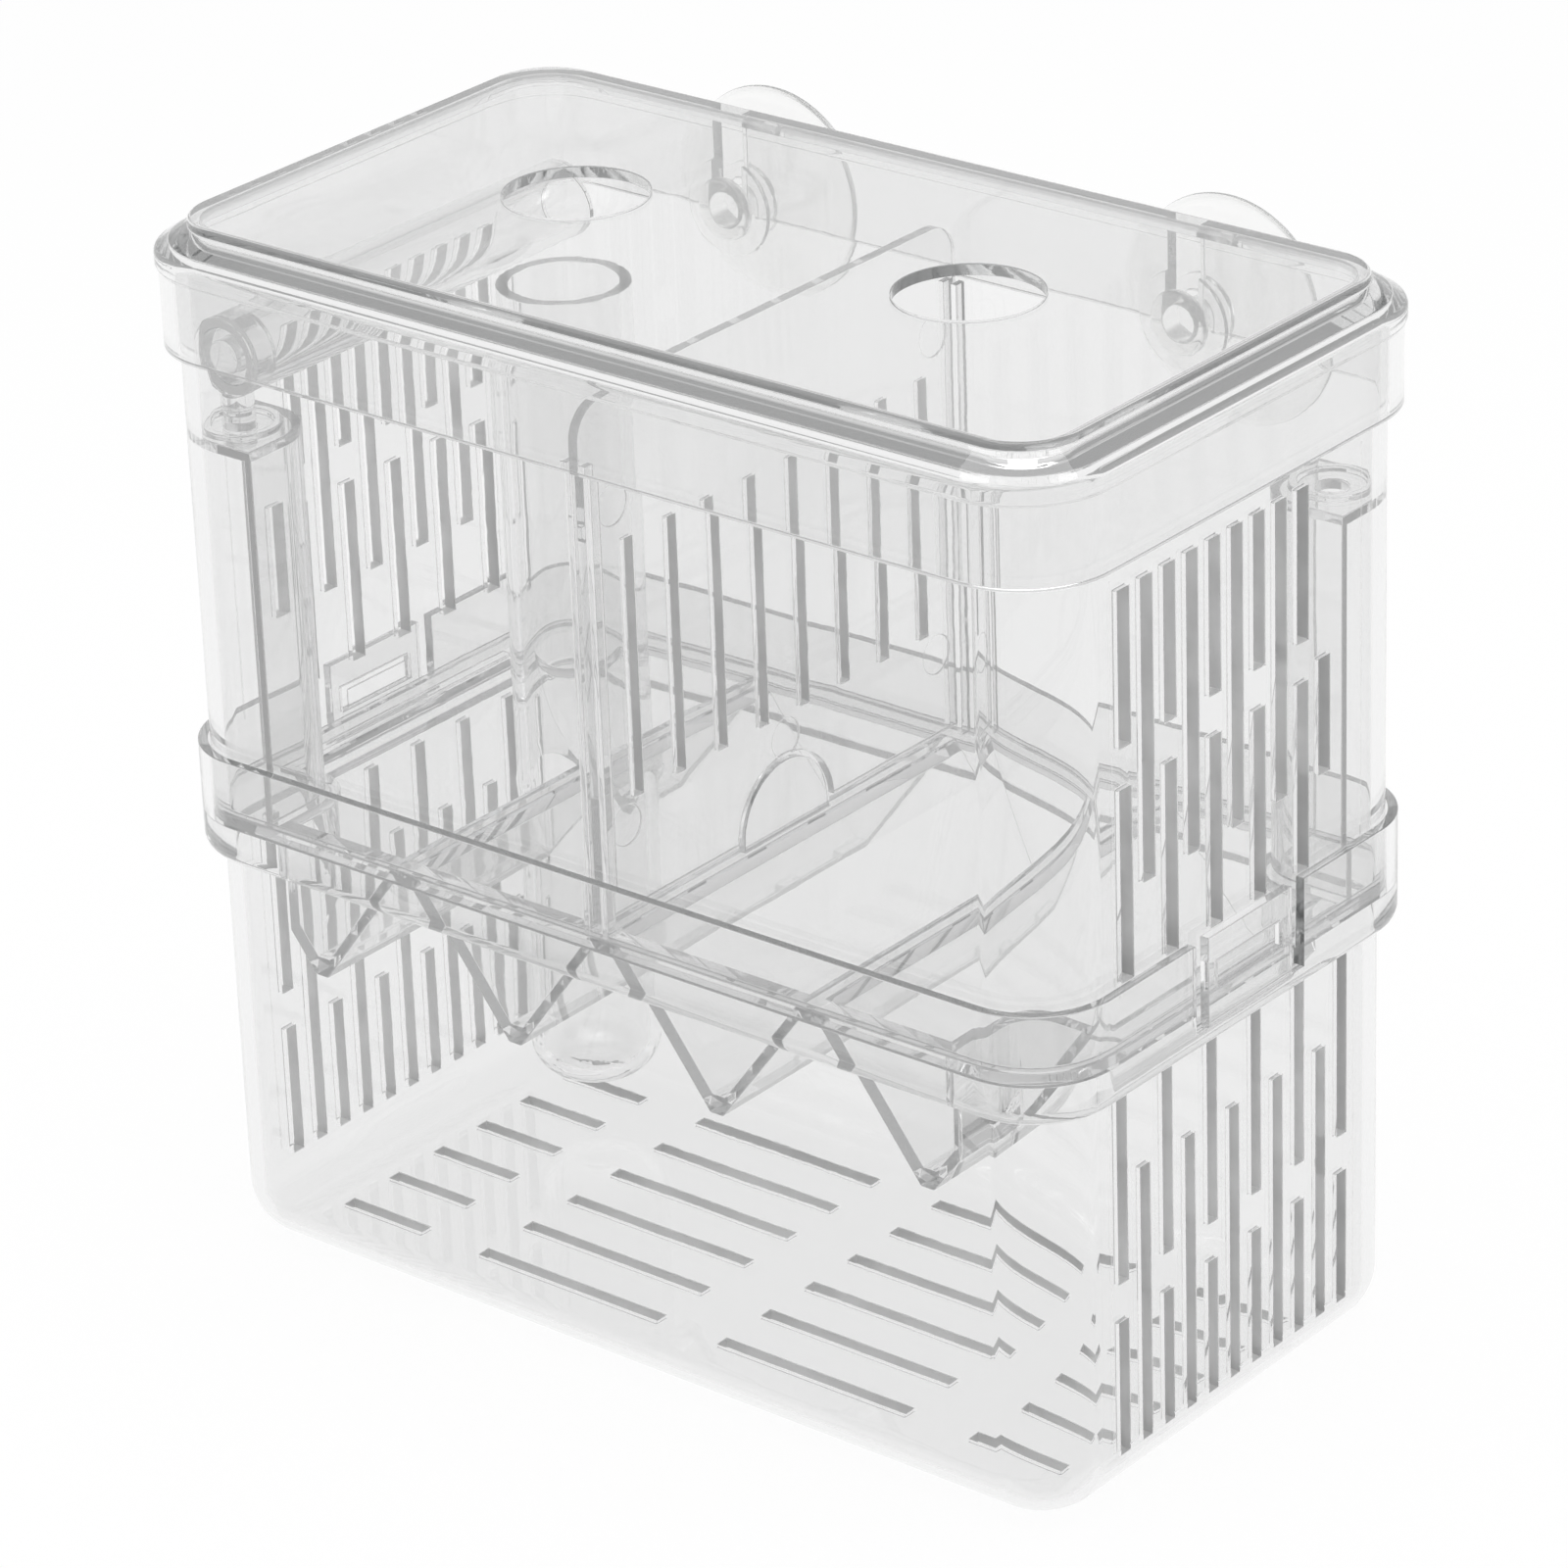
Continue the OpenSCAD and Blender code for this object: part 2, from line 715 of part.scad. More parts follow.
module divider() {
    half = inner_y - seat_gap;
    h = upper_top - divider_drop - divider_z;
    color(CLEAR)
        difference() {
            translate([0, 0, divider_z])
                rotate([90, 0, 90])
                    linear_extrude(divider_t, center = true)
                        difference() {
                            union() {
                                translate([-half, 0])
                                    square([2 * half, h - divider_r]);
                                translate([-half + divider_r, 0])
                                    square([2 * (half - divider_r), h]);
                                for (sy = [-1, 1])
                                    translate([sy * (half - divider_r), h - divider_r])
                                        circle(divider_r);
                            }
                            for (k = [0 : divider_slots - 1])
                                translate([(k - (divider_slots - 1) / 2) * divider_pitch - divider_slot_w / 2,
                                    divider_slot_low])
                                    square([divider_slot_w, divider_slot_h]);
                            translate([0, tab_z - divider_z])
                                circle(tab_r + slip + 0.6);
                        }
            for (y = [-half + mark_side, 0, half - mark_side], up = [0, 1])
                if (y != 0 || up == 0)
                    translate([divider_t / 2 - mark_t, y, divider_z + (up == 0 ? mark_low : h - mark_high)])
                        rotate([0, 90, 0])
                            cylinder(r = mark_r, h = 1);
        }
}

// Right half of the lid's outline in an upright section, w from the middle to the outside of the case
module lid_half(w) {
    shoulder_top = lid_top - step_h;
    lip_top = shoulder_top - shoulder_h;
    lip_low = lip_top - lip_h;
    side = w + lip_out;
    slope = [shoulder_h, band_w + lip_out] / norm([shoulder_h, band_w + lip_out]);
    middle = [side - shoulder_edge, lip_top - shoulder_edge * (1 - slope[0]) / slope[1]];
    translate([0, lid_z - skirt_h])
        square([w + skirt_out, lip_top - lid_z + skirt_h]);
    polygon([[0, lip_low], [side - lip_edge, lip_low], [side, lip_low + lip_edge], [side, middle[1]],
        middle + shoulder_edge * slope, [w - band_w, shoulder_top], [0, shoulder_top]]);
    translate([side - lip_edge, lip_low + lip_edge])
        circle(lip_edge);
    translate(middle)
        circle(shoulder_edge);
    translate([0, lip_low])
        square([w - band_w, lid_top - panel_edge - lip_low]);
    translate([0, lip_low])
        square([w - band_w - panel_edge, lid_top - lip_low]);
    translate([w - band_w - panel_edge, lid_top - panel_edge])
        circle(panel_edge);
}

// The lid's outside: that section run along both pairs of walls and turned about the corners
module lid_body() {
    half_l = case_l / 2 - case_r;
    half_d = case_d / 2 - case_r;
    for (side = [0, 1]) {
        rotate([90, 0, 90])
            linear_extrude(2 * half_l, center = true)
                mirror([side, 0])
                    lid_half(case_d / 2);
        rotate([90, 0, 0])
            linear_extrude(2 * half_d, center = true)
                mirror([side, 0])
                    lid_half(case_l / 2);
    }
    for (sx = [-1, 1], sy = [-1, 1])
        translate([sx * half_l, sy * half_d])
            rotate_extrude()
                lid_half(case_r);
}

module lid() {
    panel_plan = inset(case_plan, band_w);
    color(CLEAR)
        difference() {
            lid_body();
            translate([0, 0, lid_z - skirt_h - 1])
                slab(rim_plan, skirt_h + 1);
            translate([0, 0, lid_z - 1])
                slab(inset(panel_plan, panel_t), lid_rise + 1 - panel_t);
            for (sx = [-1, 1])
                translate([sx * feed_x, 0, lid_z - 1])
                    cylinder(r = feed_r, h = lid_rise + 2);
            for (sx = [-1, 1])
                translate([sx * seat_x, rim_plan[1] / 2 - 1, 0]) {
                    translate([-neck_slot, 0, lid_z - skirt_h - 1])
                        cube([2 * neck_slot, rim_wall + 2, seat_z - lid_z + skirt_h + 1]);
                    translate([0, 0, seat_z])
                        rotate([-90, 0, 0])
                            cylinder(r = neck_slot, h = rim_wall + 2);
                }
        }
}

// Suction cup turned about its own axis, its head inside the rear wall and its dish behind the lid
module suction_cup() {
    head_y = inner_y - boss_t - seat_gap - head_t;
    collar_y = case_d / 2 + lip_out + seat_gap;
    rim_y = collar_y + cup_depth;
    translate([0, 0, seat_z])
        rotate([-90, 0, 0])
            rotate_extrude()
                polygon([
                    [0, head_y], [head_r * 0.5, head_y + 0.2], [head_r * 0.85, head_y + 0.8],
                    [head_r, head_y + 1.5],
                    [head_r, head_y + head_t], [neck_r, head_y + head_t],
                    [neck_r, collar_y], [cup_collar_r, collar_y], [cup_collar_r, collar_y + 1],
                    [cup_r * 0.68, collar_y + cup_depth * 0.42], [cup_r * 0.92, rim_y - cup_lip - 0.6],
                    [cup_r, rim_y - cup_lip / 2], [cup_r, rim_y], [cup_r - cup_lip, rim_y],
                    [cup_r * 0.88, rim_y - cup_lip * 0.6], [cup_r * 0.62, collar_y + cup_core + 1.2],
                    [cup_r * 0.3, collar_y + cup_core + 0.2], [0, collar_y + cup_core]
                ]);
}

module suction_cup_left() {
    color(VINYL)
        translate([-seat_x, 0, 0])
            suction_cup();
}

module suction_cup_right() {
    color(VINYL)
        translate([seat_x, 0, 0])
            suction_cup();
}

module upright_tube() {
    bottom = floor_t + tube_rise;
    aside = tube_from_side - cap_hole_x - tube_r;
    top = pipe_z - sqrt(max(0, pow(pipe_r + pipe_gap, 2) - pow(aside, 2)));
    h = top - bottom;
    color(CLEAR)
        translate([tube_x, tube_y, bottom])
            rotate_extrude()
                difference() {
                    half_section(tube_r, h, tube_foot_r);
                    translate([0, tube_wall])
                        half_section(tube_r - tube_wall, h, tube_foot_r - tube_wall);
                }
}

// Cross pipe whose spigot ends inside the pipe's lower wall, beside the end plug's flange
module cross_pipe() {
    spigot_z = duct_top - spigot_reach;
    color(CLEAR)
        difference() {
            union() {
                translate([-duct_hole_x, pipe_front_y, pipe_z])
                    rotate([-90, 0, 0])
                        cylinder(r = pipe_r, h = pipe_l);
                translate([-duct_hole_x, -duct_hole_y, spigot_z])
                    cylinder(r = spigot_r, h = pipe_z - pipe_r + pipe_wall / 2 - spigot_z);
            }
            translate([-duct_hole_x, pipe_front_y - 1, pipe_z])
                rotate([-90, 0, 0])
                    cylinder(r = pipe_r - pipe_wall, h = pipe_l + 2);
            translate([-duct_hole_x, pipe_front_y, pipe_z])
                rotate([90, 0, 0])
                    cylinder(r = pipe_r, h = plug_t + 1);
        }
}

// Plug that closes the front end of the cross pipe
module pipe_end_plug() {
    color(CLEAR_DEEP)
        translate([-duct_hole_x, pipe_front_y, pipe_z])
            rotate([-90, 0, 0])
                difference() {
                    union() {
                        translate([0, 0, -plug_t])
                            cylinder(r = pipe_r, h = plug_t);
                        cylinder(r = pipe_r - pipe_wall, h = plug_l);
                    }
                    cylinder(r = pipe_r - 2 * pipe_wall, h = plug_l + 1);
                }
}

lower_box();
latch_tongue_left();
latch_tongue_right();
trough_tray();
upper_box();
corner_duct_front();
corner_duct_rear();
divider();
lid();
suction_cup_left();
suction_cup_right();
upright_tube();
cross_pipe();
pipe_end_plug();
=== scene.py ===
import json
import math
import bmesh
import bpy
from mathutils import Matrix, Vector


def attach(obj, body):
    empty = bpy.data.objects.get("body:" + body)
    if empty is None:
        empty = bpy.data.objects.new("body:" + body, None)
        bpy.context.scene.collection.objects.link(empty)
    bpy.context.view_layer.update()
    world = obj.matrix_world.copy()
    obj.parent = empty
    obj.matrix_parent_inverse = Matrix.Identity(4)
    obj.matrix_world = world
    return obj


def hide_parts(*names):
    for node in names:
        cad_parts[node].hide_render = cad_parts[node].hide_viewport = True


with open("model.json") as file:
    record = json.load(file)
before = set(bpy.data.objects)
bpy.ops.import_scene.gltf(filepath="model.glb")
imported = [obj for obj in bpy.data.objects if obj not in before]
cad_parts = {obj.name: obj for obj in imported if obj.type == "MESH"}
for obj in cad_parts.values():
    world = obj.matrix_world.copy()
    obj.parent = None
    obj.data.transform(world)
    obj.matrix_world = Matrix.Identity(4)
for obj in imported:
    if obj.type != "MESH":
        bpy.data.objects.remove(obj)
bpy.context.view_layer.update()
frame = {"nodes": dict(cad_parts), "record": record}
mm = 0.001


def deselectAll():
    if bpy.context.object and bpy.context.object.mode != "OBJECT":
        bpy.ops.object.mode_set(mode="OBJECT")
    bpy.ops.object.select_all(action="DESELECT")


def activate(piece):
    deselectAll()
    piece.select_set(True)
    bpy.context.view_layer.objects.active = piece


def applyModifier(piece, kind, name, **values):
    activate(piece)
    modifier = piece.modifiers.new(name, kind)
    for key, value in values.items():
        setattr(modifier, key, value)
    bpy.ops.object.modifier_apply(modifier=modifier.name)


def socket(node, name, value):
    node.inputs[name].default_value = value


def grey(tone):
    return (tone, tone, tone, 1)


plastic = {
    "ior": 1.57,
    "shadowTint": 0.95,                    # light that one surface lets through to the floor
    "depthColour": (0.50, 0.51, 0.51, 1),  # colour that a thick stretch of plastic turns to
    "waveScale": 26.0,                     # slow flow waves in the moulded faces
    "waveDetail": 1.0,
    "waveHeight": 0.00007,
    "fineScale": 160.0,                    # finer unevenness on top of the waves
    "fineDetail": 2.0,
    "fineHeight": 0.000003,
    "wearScale": 420.0,                    # faint rub marks that take the polish off in spots
    "wearDetail": 3.0,
    "wearFrom": 0.60,
    "wearTo": 0.78,
    "deepAfter": 13,                       # surfaces after which the light inside a wall is taken as even and the plastic glows a painted flat grey
    "paintedGlowTone": 0.52,
}
slotSides = {
    "grainScale": 90.0,                    # matt, slightly uneven sides of the slots; their grey colour is painted shade
    "grainDetail": 2.0,
    # grey tones of the painted shade on the slot sides
    "dark": 0.50,
    "darkAt": 0.3,
    "light": 0.64,
    "lightAt": 0.7,
    "roughness": 0.45,
    "clearness": 0.3,
    "facing": 0.5,                         # how far a side may lean out of the slot's direction
}


def noise(nodes, scale, detail):
    texture = nodes.new("ShaderNodeTexNoise")
    socket(texture, "Scale", scale)
    socket(texture, "Detail", detail)
    return texture


def bump(nodes, height):
    surface = nodes.new("ShaderNodeBump")
    socket(surface, "Strength", 1.0)
    socket(surface, "Distance", height)
    return surface


def slotMask(nodes, links):  # 1 on a slot's side that is seen from outside the plastic, where the painted grey shade goes
    flagged = nodes.new("ShaderNodeAttribute")
    flagged.attribute_name = "slotShade"
    facing = nodes.new("ShaderNodeNewGeometry")
    outside = nodes.new("ShaderNodeMath")
    outside.operation = "SUBTRACT"
    outside.inputs[0].default_value = 1.0
    mask = nodes.new("ShaderNodeMath")
    mask.operation = "MULTIPLY"
    links.new(facing.outputs["Backfacing"], outside.inputs[1])
    links.new(flagged.outputs["Fac"], mask.inputs[0])
    links.new(outside.outputs["Value"], mask.inputs[1])
    return mask.outputs["Value"]


# painted shade: a grey colour with a random grain stands for the shade that the clear slot sides show
def paintedSlotShade(nodes, links, coords):
    shader = nodes.new("ShaderNodeBsdfPrincipled")
    grain = noise(nodes, slotSides["grainScale"], slotSides["grainDetail"])
    shade = nodes.new("ShaderNodeValToRGB")
    shade.color_ramp.elements[0].position = slotSides["darkAt"]
    shade.color_ramp.elements[0].color = grey(slotSides["dark"])
    shade.color_ramp.elements[1].position = slotSides["lightAt"]
    shade.color_ramp.elements[1].color = grey(slotSides["light"])
    links.new(coords.outputs["Object"], grain.inputs["Vector"])
    links.new(grain.outputs["Fac"], shade.inputs["Fac"])
    links.new(shade.outputs["Color"], shader.inputs["Base Color"])
    socket(shader, "Roughness", slotSides["roughness"])
    socket(shader, "IOR", plastic["ior"])
    socket(shader, "Transmission Weight", slotSides["clearness"])
    return shader.outputs["BSDF"]


def clearMaterial(name, tint, polish, worn, density, wave):
    material = bpy.data.materials.new(name)
    material.use_nodes = True
    tree = material.node_tree
    nodes, links = tree.nodes, tree.links
    nodes.clear()
    output = nodes.new("ShaderNodeOutputMaterial")
    glass = nodes.new("ShaderNodeBsdfPrincipled")
    socket(glass, "Base Color", tint)
    socket(glass, "IOR", plastic["ior"])
    socket(glass, "Transmission Weight", 1.0)
    coords = nodes.new("ShaderNodeTexCoord")
    slow = noise(nodes, plastic["waveScale"], plastic["waveDetail"])
    fine = noise(nodes, plastic["fineScale"], plastic["fineDetail"])
    slowBump = bump(nodes, plastic["waveHeight"] * wave)
    fineBump = bump(nodes, plastic["fineHeight"] * wave)
    links.new(coords.outputs["Object"], slow.inputs["Vector"])
    links.new(coords.outputs["Object"], fine.inputs["Vector"])
    links.new(slow.outputs["Fac"], slowBump.inputs["Height"])
    links.new(fine.outputs["Fac"], fineBump.inputs["Height"])
    links.new(slowBump.outputs["Normal"], fineBump.inputs["Normal"])
    links.new(fineBump.outputs["Normal"], glass.inputs["Normal"])
    wear = noise(nodes, plastic["wearScale"], plastic["wearDetail"])
    spots = nodes.new("ShaderNodeMapRange")
    socket(spots, "From Min", plastic["wearFrom"])
    socket(spots, "From Max", plastic["wearTo"])
    socket(spots, "To Min", polish)
    socket(spots, "To Max", worn)
    links.new(coords.outputs["Object"], wear.inputs["Vector"])
    links.new(wear.outputs["Fac"], spots.inputs["Value"])
    links.new(spots.outputs["Result"], glass.inputs["Roughness"])
    # painted shade on the slot sides seen from outside, clear plastic elsewhere
    slotShade = nodes.new("ShaderNodeMixShader")
    links.new(slotMask(nodes, links), slotShade.inputs["Fac"])
    links.new(glass.outputs["BSDF"], slotShade.inputs[1])
    links.new(paintedSlotShade(nodes, links, coords), slotShade.inputs[2])
    path = nodes.new("ShaderNodeLightPath")
    through = nodes.new("ShaderNodeBsdfTransparent")
    socket(through, "Color", grey(plastic["shadowTint"]))
    mix = nodes.new("ShaderNodeMixShader")
    links.new(path.outputs["Is Shadow Ray"], mix.inputs["Fac"])
    links.new(slotShade.outputs["Shader"], mix.inputs[1])
    links.new(through.outputs["BSDF"], mix.inputs[2])
    # painted light: past deepAfter surfaces the plastic glows a flat grey instead of tracing the light
    # on
    deep = nodes.new("ShaderNodeMath")
    deep.operation = "GREATER_THAN"
    deep.inputs[1].default_value = plastic["deepAfter"]
    links.new(path.outputs["Ray Depth"], deep.inputs[0])
    paintedGlow = nodes.new("ShaderNodeEmission")
    socket(paintedGlow, "Color", grey(plastic["paintedGlowTone"]))
    settle = nodes.new("ShaderNodeMixShader")
    links.new(deep.outputs["Value"], settle.inputs["Fac"])
    links.new(mix.outputs["Shader"], settle.inputs[1])
    links.new(paintedGlow.outputs["Emission"], settle.inputs[2])
    links.new(settle.outputs["Shader"], output.inputs["Surface"])
    volume = nodes.new("ShaderNodeVolumeAbsorption")
    socket(volume, "Color", plastic["depthColour"])
    socket(volume, "Density", density)
    links.new(volume.outputs["Volume"], output.inputs["Volume"])
    return material


finishes = {  # tint, polish, roughness where worn, density, share of the waves
    "clear_case": clearMaterial("clearCase", grey(0.935), 0.01, 0.05, 14, 1.3),
    "clear_tray": clearMaterial("clearTray", grey(0.965), 0.015, 0.06, 14, 1.2),
    "clear_divider": clearMaterial("clearDivider", grey(0.965), 0.01, 0.05, 14, 0.8),
    "clear_lid": clearMaterial("clearLid", grey(0.96), 0.01, 0.05, 14, 1.2),
    "clear_tube": clearMaterial("clearTube", grey(0.965), 0.01, 0.04, 14, 0.5),
    "clear_vinyl": clearMaterial("clearVinyl", (0.985, 0.985, 0.98, 1), 0.10, 0.18, 16, 0.5),
}


softening = {
    "mergeWithin": 0.02 * mm,
    "flatWithin": math.radians(0.4),
    "sharpFrom": math.radians(50),
    "smoothWithin": math.radians(50),
    "rounds": 2,      # strips across a softened edge
    "flatWeight": 100,
}
mouldings = {
    "lower_box": {"piece": "lowerCase", "edge": 0.2, "slot": "clear_case"},
    "latch_tongue_left": {"piece": "latchTongueLeft", "edge": 0.2, "slot": "clear_case"},
    "latch_tongue_right": {"piece": "latchTongueRight", "edge": 0.2, "slot": "clear_case"},
    "trough_tray": {"piece": "troughTray", "edge": 0.2, "slot": "clear_tray"},
    "upper_box": {"piece": "upperCase", "edge": 0.2, "slot": "clear_case"},
    "corner_duct_front": {"piece": "cornerDuctFront", "edge": 0.2, "slot": "clear_case"},
    "corner_duct_rear": {"piece": "cornerDuctRear", "edge": 0.2, "slot": "clear_case"},
    "divider": {"piece": "slottedDivider", "edge": 0.2, "slot": "clear_divider"},
    "lid": {"piece": "caseLid", "edge": 0.2, "slot": "clear_lid"},
    "suction_cup_left": {"piece": "suctionCupLeft", "edge": 0.2, "slot": "clear_vinyl"},
    "suction_cup_right": {"piece": "suctionCupRight", "edge": 0.2, "slot": "clear_vinyl"},
    "upright_tube": {"piece": "uprightTube", "edge": 0.2, "slot": "clear_tube"},
    "cross_pipe": {"piece": "crossPipe", "edge": 0.2, "slot": "clear_tube"},
    "pipe_end_plug": {"piece": "pipeEndPlug", "edge": 0.2, "slot": "clear_tube"},
}
crispPlaces = {  # thin steps that keep their crisp edges: lowest and highest distance, both sides alike
    "lower_box": [((96.0, 0.0, 81.5), (102.5, 16.5, 93.5)), ((93.0, 0.0, 7.0), (98.5, 40.0, 13.0))],
}
slotPlaces = {  # where the slots' sides are, and the axis along which the slots run through; these faces take the painted grey shade
    "lower_box": [((93.8, 0, 9.8), (96.4, 36, 78.4), 0), ((0, 0, 0), (84, 34, 2), 2)],
    "upper_box": [((95.2, 0, 100), (97.8, 40, 172), 0)],
    "divider": [((0, 0, 111.8), (1.0, 42, 159.8), 0)],
}


def within(place, lowest, highest):
    return all(low * mm <= abs(value) <= high * mm for value, low, high in zip(place, lowest, highest))


def mouldedCopy(node):
    settings = mouldings[node]
    piece = bpy.data.objects.new(settings["piece"], frame["nodes"][node].data.copy())
    bpy.context.scene.collection.objects.link(piece)
    piece.data.materials.clear()
    piece.data.materials.append(finishes[settings["slot"]])
    activate(piece)
    bpy.ops.object.mode_set(mode="EDIT")
    bpy.ops.mesh.select_all(action="SELECT")
    bpy.ops.mesh.remove_doubles(threshold=softening["mergeWithin"])
    bpy.ops.mesh.customdata_custom_splitnormals_clear()
    bpy.ops.mesh.dissolve_limited(angle_limit=softening["flatWithin"], delimit={"MATERIAL"})
    bpy.ops.mesh.select_mode(type="EDGE")
    bpy.ops.mesh.select_all(action="DESELECT")
    edit = bmesh.from_edit_mesh(piece.data)
    for edge in edit.edges:
        middle = (edge.verts[0].co + edge.verts[1].co) / 2
        crisp = any(within(middle, *place) for place in crispPlaces.get(node, []))
        edge.select = edge.is_manifold and edge.calc_face_angle() > softening["sharpFrom"] and not crisp
    bmesh.update_edit_mesh(piece.data)
    bpy.ops.transform.edge_bevelweight(value=1.0)
    bpy.ops.object.mode_set(mode="OBJECT")
    applyModifier(piece, "BEVEL", "softEdges", width=settings["edge"] * mm, segments=softening["rounds"],
                  limit_method="WEIGHT", use_clamp_overlap=False, loop_slide=False)
    activate(piece)
    bpy.ops.object.shade_smooth_by_angle(angle=softening["smoothWithin"])
    applyModifier(piece, "WEIGHTED_NORMAL", "flatFaces", keep_sharp=True, weight=softening["flatWeight"])
    # flag the slot sides that take the painted grey shade
    if node in slotPlaces:
        flags = piece.data.attributes.new("slotShade", "FLOAT", "FACE")
        for face in piece.data.polygons:
            flags.data[face.index].value = float(any(
                within(face.center, lowest, highest) and abs(face.normal[axis]) < slotSides["facing"]
                for lowest, highest, axis in slotPlaces[node]))
    return piece


bodyOf = {n: body for body, members in frame["record"]["behaviour"]["bodies"].items() for n in members}
for node in mouldings:
    piece = mouldedCopy(node)
    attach(piece, bodyOf[node])
    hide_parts(node)
    print("moulded", piece.name, len(piece.data.polygons), "faces")


insertLines = {  # upright witness lines of the mould inserts beside the slots, in mm
    "lower": {"piece": "insertLinesLower", "face": 96.4, "half": 35.8, "low": 11.2, "high": 78.9},
    "upper": {"piece": "insertLinesUpper", "face": 97.8, "half": 35.8, "low": 99.0, "high": 173.5},
}
lineShape = {"width": 0.3, "proud": 0.08, "gap": 0.01}


def addBar(lowest, highest):
    bpy.ops.mesh.primitive_cube_add(size=1, location=[(a + b) / 2 * mm for a, b in zip(lowest, highest)])
    bar = bpy.context.object
    bar.scale = [(b - a) * mm for a, b in zip(lowest, highest)]
    return bar


def buildInsertLines(body):
    deselectAll()
    place = insertLines[body]
    near = place["face"] + lineShape["gap"]
    far = near + lineShape["proud"]
    half, width = place["half"], lineShape["width"]
    bars = []
    for x0, x1 in ((near, far), (-far, -near)):
        for y in (-half, half - width):
            bars.append(addBar((x0, y, place["low"]), (x1, y + width, place["high"])))
    deselectAll()
    for bar in bars:
        bar.select_set(True)
    bpy.context.view_layer.objects.active = bars[0]
    bpy.ops.object.join()
    piece = bpy.context.object
    bpy.ops.object.transform_apply(location=True, rotation=True, scale=True)
    piece.name = place["piece"]
    piece.data.materials.append(finishes["clear_case"])
    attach(piece, body)
    print("added", piece.name)


for body in insertLines:
    buildInsertLines(body)


studio = {
    "floorSize": 6.0,
    "floorDrop": 0.0002,
    "floorColour": 0.98,
    "floorGlow": 0.92,        # share of the floor that is plain white, the rest takes the shadow
    "horizon": 1.0,
    "ceiling": 0.56,
    "horizonHeight": 0.22,    # sine of the angle up to which the surround stays white
    "ceilingHeight": 0.62,
    "lampPlace": (0.1, -0.1, 1.3),
    "lampSize": 1.2,
    "lampPower": 9,
}


def backdropRays(nodes, links):
    path = nodes.new("ShaderNodeLightPath")
    first = nodes.new("ShaderNodeMath")
    first.operation = "MAXIMUM"
    both = nodes.new("ShaderNodeMath")
    both.operation = "MAXIMUM"
    links.new(path.outputs["Is Camera Ray"], first.inputs[0])
    links.new(path.outputs["Is Glossy Ray"], first.inputs[1])
    links.new(first.outputs["Value"], both.inputs[0])
    links.new(path.outputs["Is Transmission Ray"], both.inputs[1])
    return both.outputs["Value"]


def buildFloor():
    deselectAll()
    bpy.ops.mesh.primitive_plane_add(size=studio["floorSize"], location=(0, 0, -studio["floorDrop"]))
    floor = bpy.context.object
    floor.name = "paleFloor"
    material = bpy.data.materials.new("paleFloor")
    material.use_nodes = True
    nodes, links = material.node_tree.nodes, material.node_tree.links
    shader = nodes["Principled BSDF"]
    socket(shader, "Base Color", grey(studio["floorColour"]))
    socket(shader, "Roughness", 1.0)
    socket(shader, "Specular IOR Level", 0.0)
    glow = nodes.new("ShaderNodeEmission")
    share = nodes.new("ShaderNodeMath")
    share.operation = "MULTIPLY"
    share.inputs[1].default_value = studio["floorGlow"]
    mix = nodes.new("ShaderNodeMixShader")
    links.new(backdropRays(nodes, links), share.inputs[0])
    links.new(share.outputs["Value"], mix.inputs["Fac"])
    links.new(shader.outputs["BSDF"], mix.inputs[1])
    links.new(glow.outputs["Emission"], mix.inputs[2])
    links.new(mix.outputs["Shader"], nodes["Material Output"].inputs["Surface"])
    floor.data.materials.append(material)


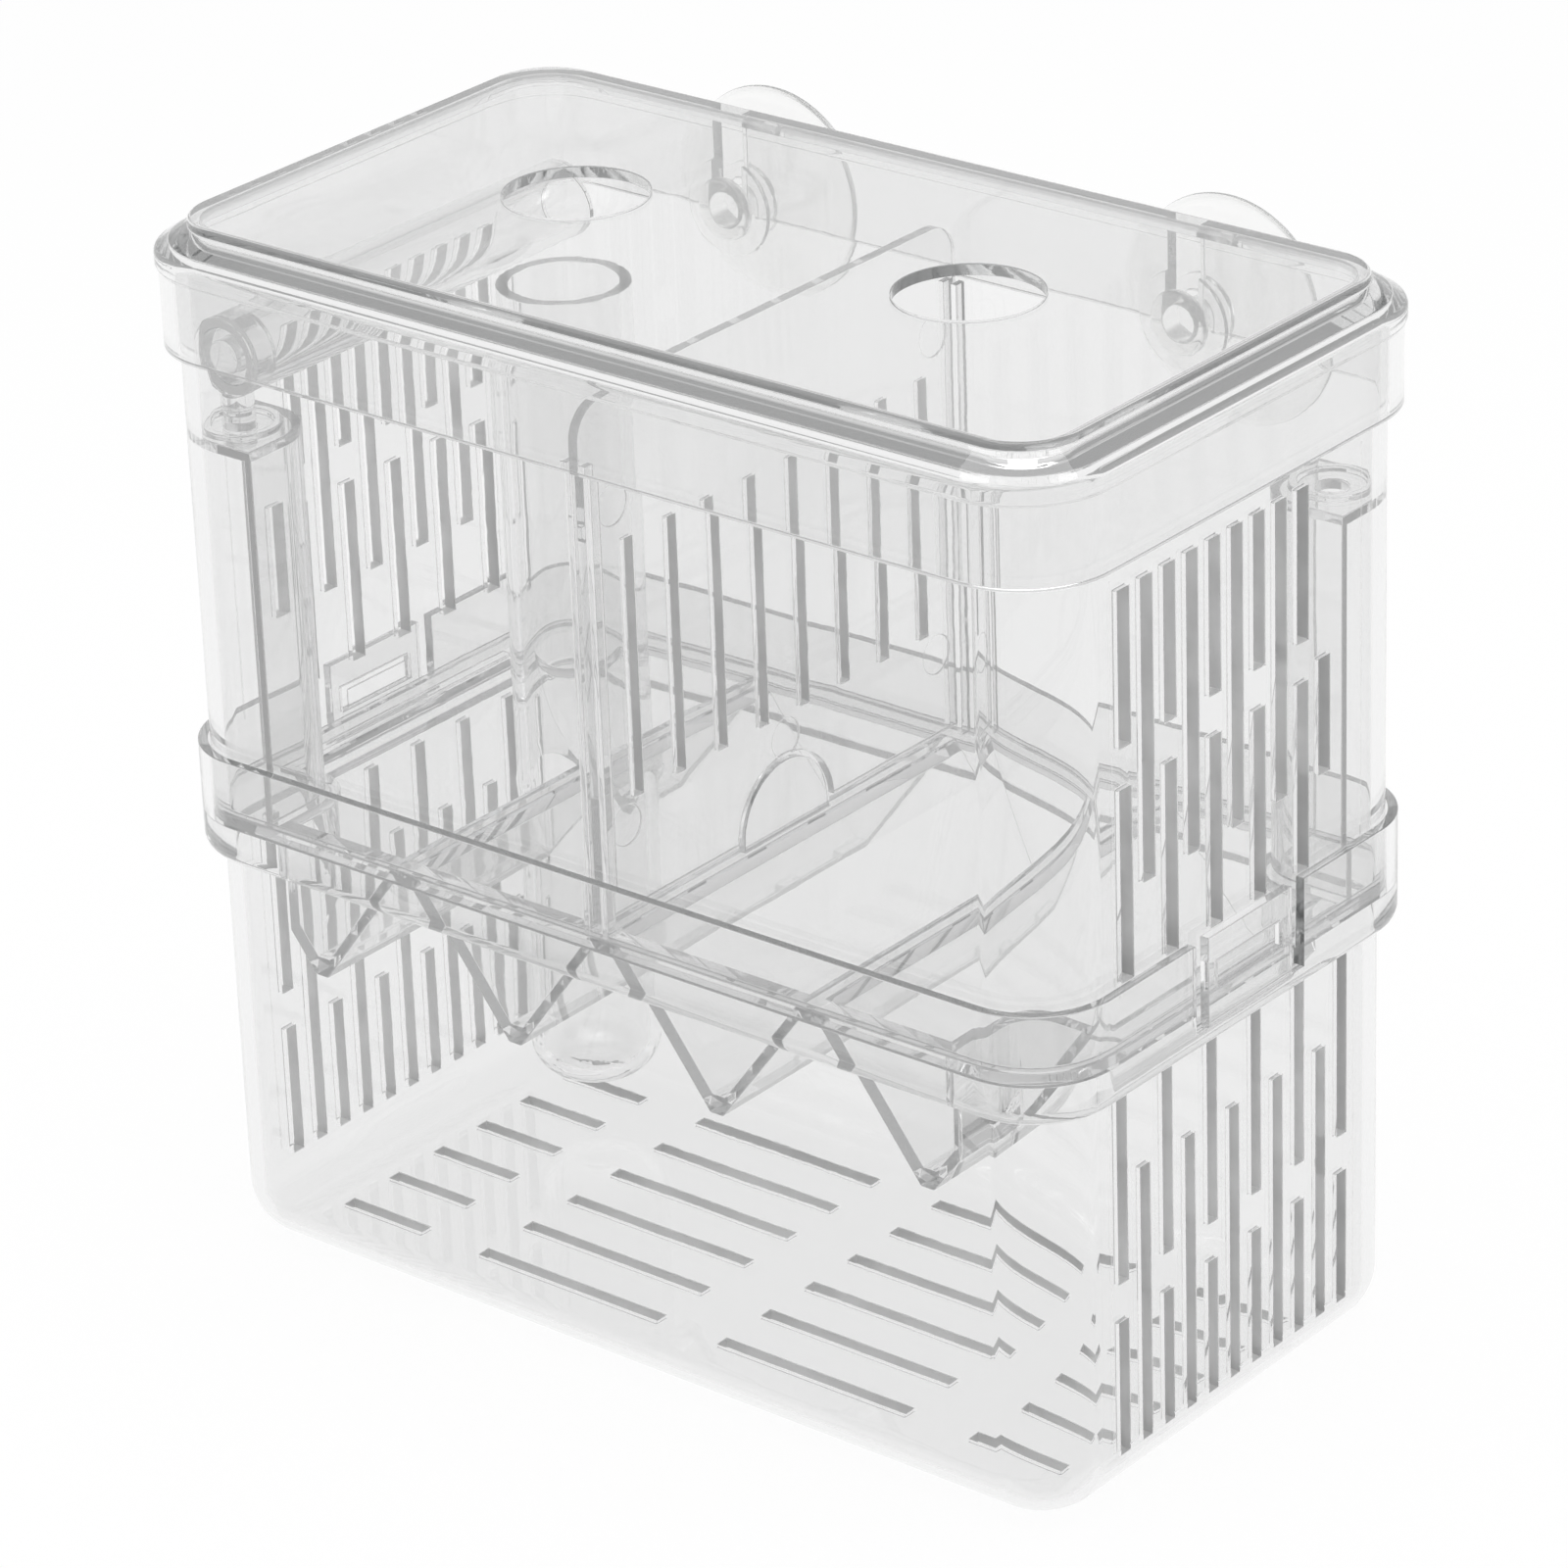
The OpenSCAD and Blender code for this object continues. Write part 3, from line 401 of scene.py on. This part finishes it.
def buildWorld():
    world = bpy.data.worlds.new("studioWorld")
    bpy.context.scene.world = world
    world.use_nodes = True
    nodes, links = world.node_tree.nodes, world.node_tree.links
    nodes.clear()
    output = nodes.new("ShaderNodeOutputWorld")
    room = nodes.new("ShaderNodeBackground")
    coords = nodes.new("ShaderNodeTexCoord")
    split = nodes.new("ShaderNodeSeparateXYZ")
    ramp = nodes.new("ShaderNodeValToRGB")
    ramp.color_ramp.interpolation = "EASE"
    ramp.color_ramp.elements[0].position = studio["horizonHeight"]
    ramp.color_ramp.elements[0].color = grey(studio["horizon"])
    ramp.color_ramp.elements[1].position = studio["ceilingHeight"]
    ramp.color_ramp.elements[1].color = grey(studio["ceiling"])
    links.new(coords.outputs["Generated"], split.inputs["Vector"])
    links.new(split.outputs["Z"], ramp.inputs["Fac"])
    links.new(ramp.outputs["Color"], room.inputs["Color"])
    white = nodes.new("ShaderNodeBackground")
    path = nodes.new("ShaderNodeLightPath")
    mix = nodes.new("ShaderNodeMixShader")
    links.new(path.outputs["Is Camera Ray"], mix.inputs["Fac"])
    links.new(room.outputs["Background"], mix.inputs[1])
    links.new(white.outputs["Background"], mix.inputs[2])
    links.new(mix.outputs["Shader"], output.inputs["Surface"])
    socket(white, "Color", grey(1))


def buildLamp():
    deselectAll()
    place = studio["lampPlace"]
    bpy.ops.object.light_add(type="AREA", location=place)
    lamp = bpy.context.object
    lamp.name = "topBox"
    lamp.data.shape = "SQUARE"
    lamp.data.size = studio["lampSize"]
    lamp.data.energy = studio["lampPower"]
    lamp.rotation_euler = (-Vector(place)).to_track_quat("-Z", "Y").to_euler()


buildFloor()
buildWorld()
buildLamp()
print("built the floor, the surround and the lamp")


view = {
    "place": (0.69130, -0.83402, 0.60646),
    "azimuth": 39.69,
    "elevation": 25.16,
    "roll": -2.09,
    "lens": 155.37,
    "sensor": 36,
    "farEnd": 50,
}


def buildCamera():
    azimuth, elevation, roll = (math.radians(view[k]) for k in ("azimuth", "elevation", "roll"))
    forward = Vector((-math.sin(azimuth) * math.cos(elevation), math.cos(azimuth) * math.cos(elevation),
                      -math.sin(elevation)))
    right = Vector((math.cos(azimuth), math.sin(azimuth), 0))
    up = right.cross(forward)
    rolledRight = math.cos(roll) * right + math.sin(roll) * up
    rolledUp = math.cos(roll) * up - math.sin(roll) * right
    turn = Matrix((rolledRight, rolledUp, -forward)).transposed().to_4x4()
    camera = bpy.data.objects.new("mainCamera", bpy.data.cameras.new("mainCamera"))
    bpy.context.scene.collection.objects.link(camera)
    camera.matrix_world = Matrix.Translation(view["place"]) @ turn
    camera.data.lens = view["lens"]
    camera.data.sensor_width = view["sensor"]
    camera.data.sensor_fit = "AUTO"
    camera.data.clip_end = view["farEnd"]
    bpy.context.scene.camera = camera


light = {
    "throughWalls": 28,   # bounces for clear walls behind one another
    "diffuse": 3,
}
buildCamera()
scene = bpy.context.scene
scene.view_settings.view_transform = "Standard"
scene.cycles.max_bounces = light["throughWalls"]
scene.cycles.transmission_bounces = light["throughWalls"]
scene.cycles.glossy_bounces = light["throughWalls"]
scene.cycles.transparent_max_bounces = light["throughWalls"]
scene.cycles.diffuse_bounces = light["diffuse"]
print("placed the camera")
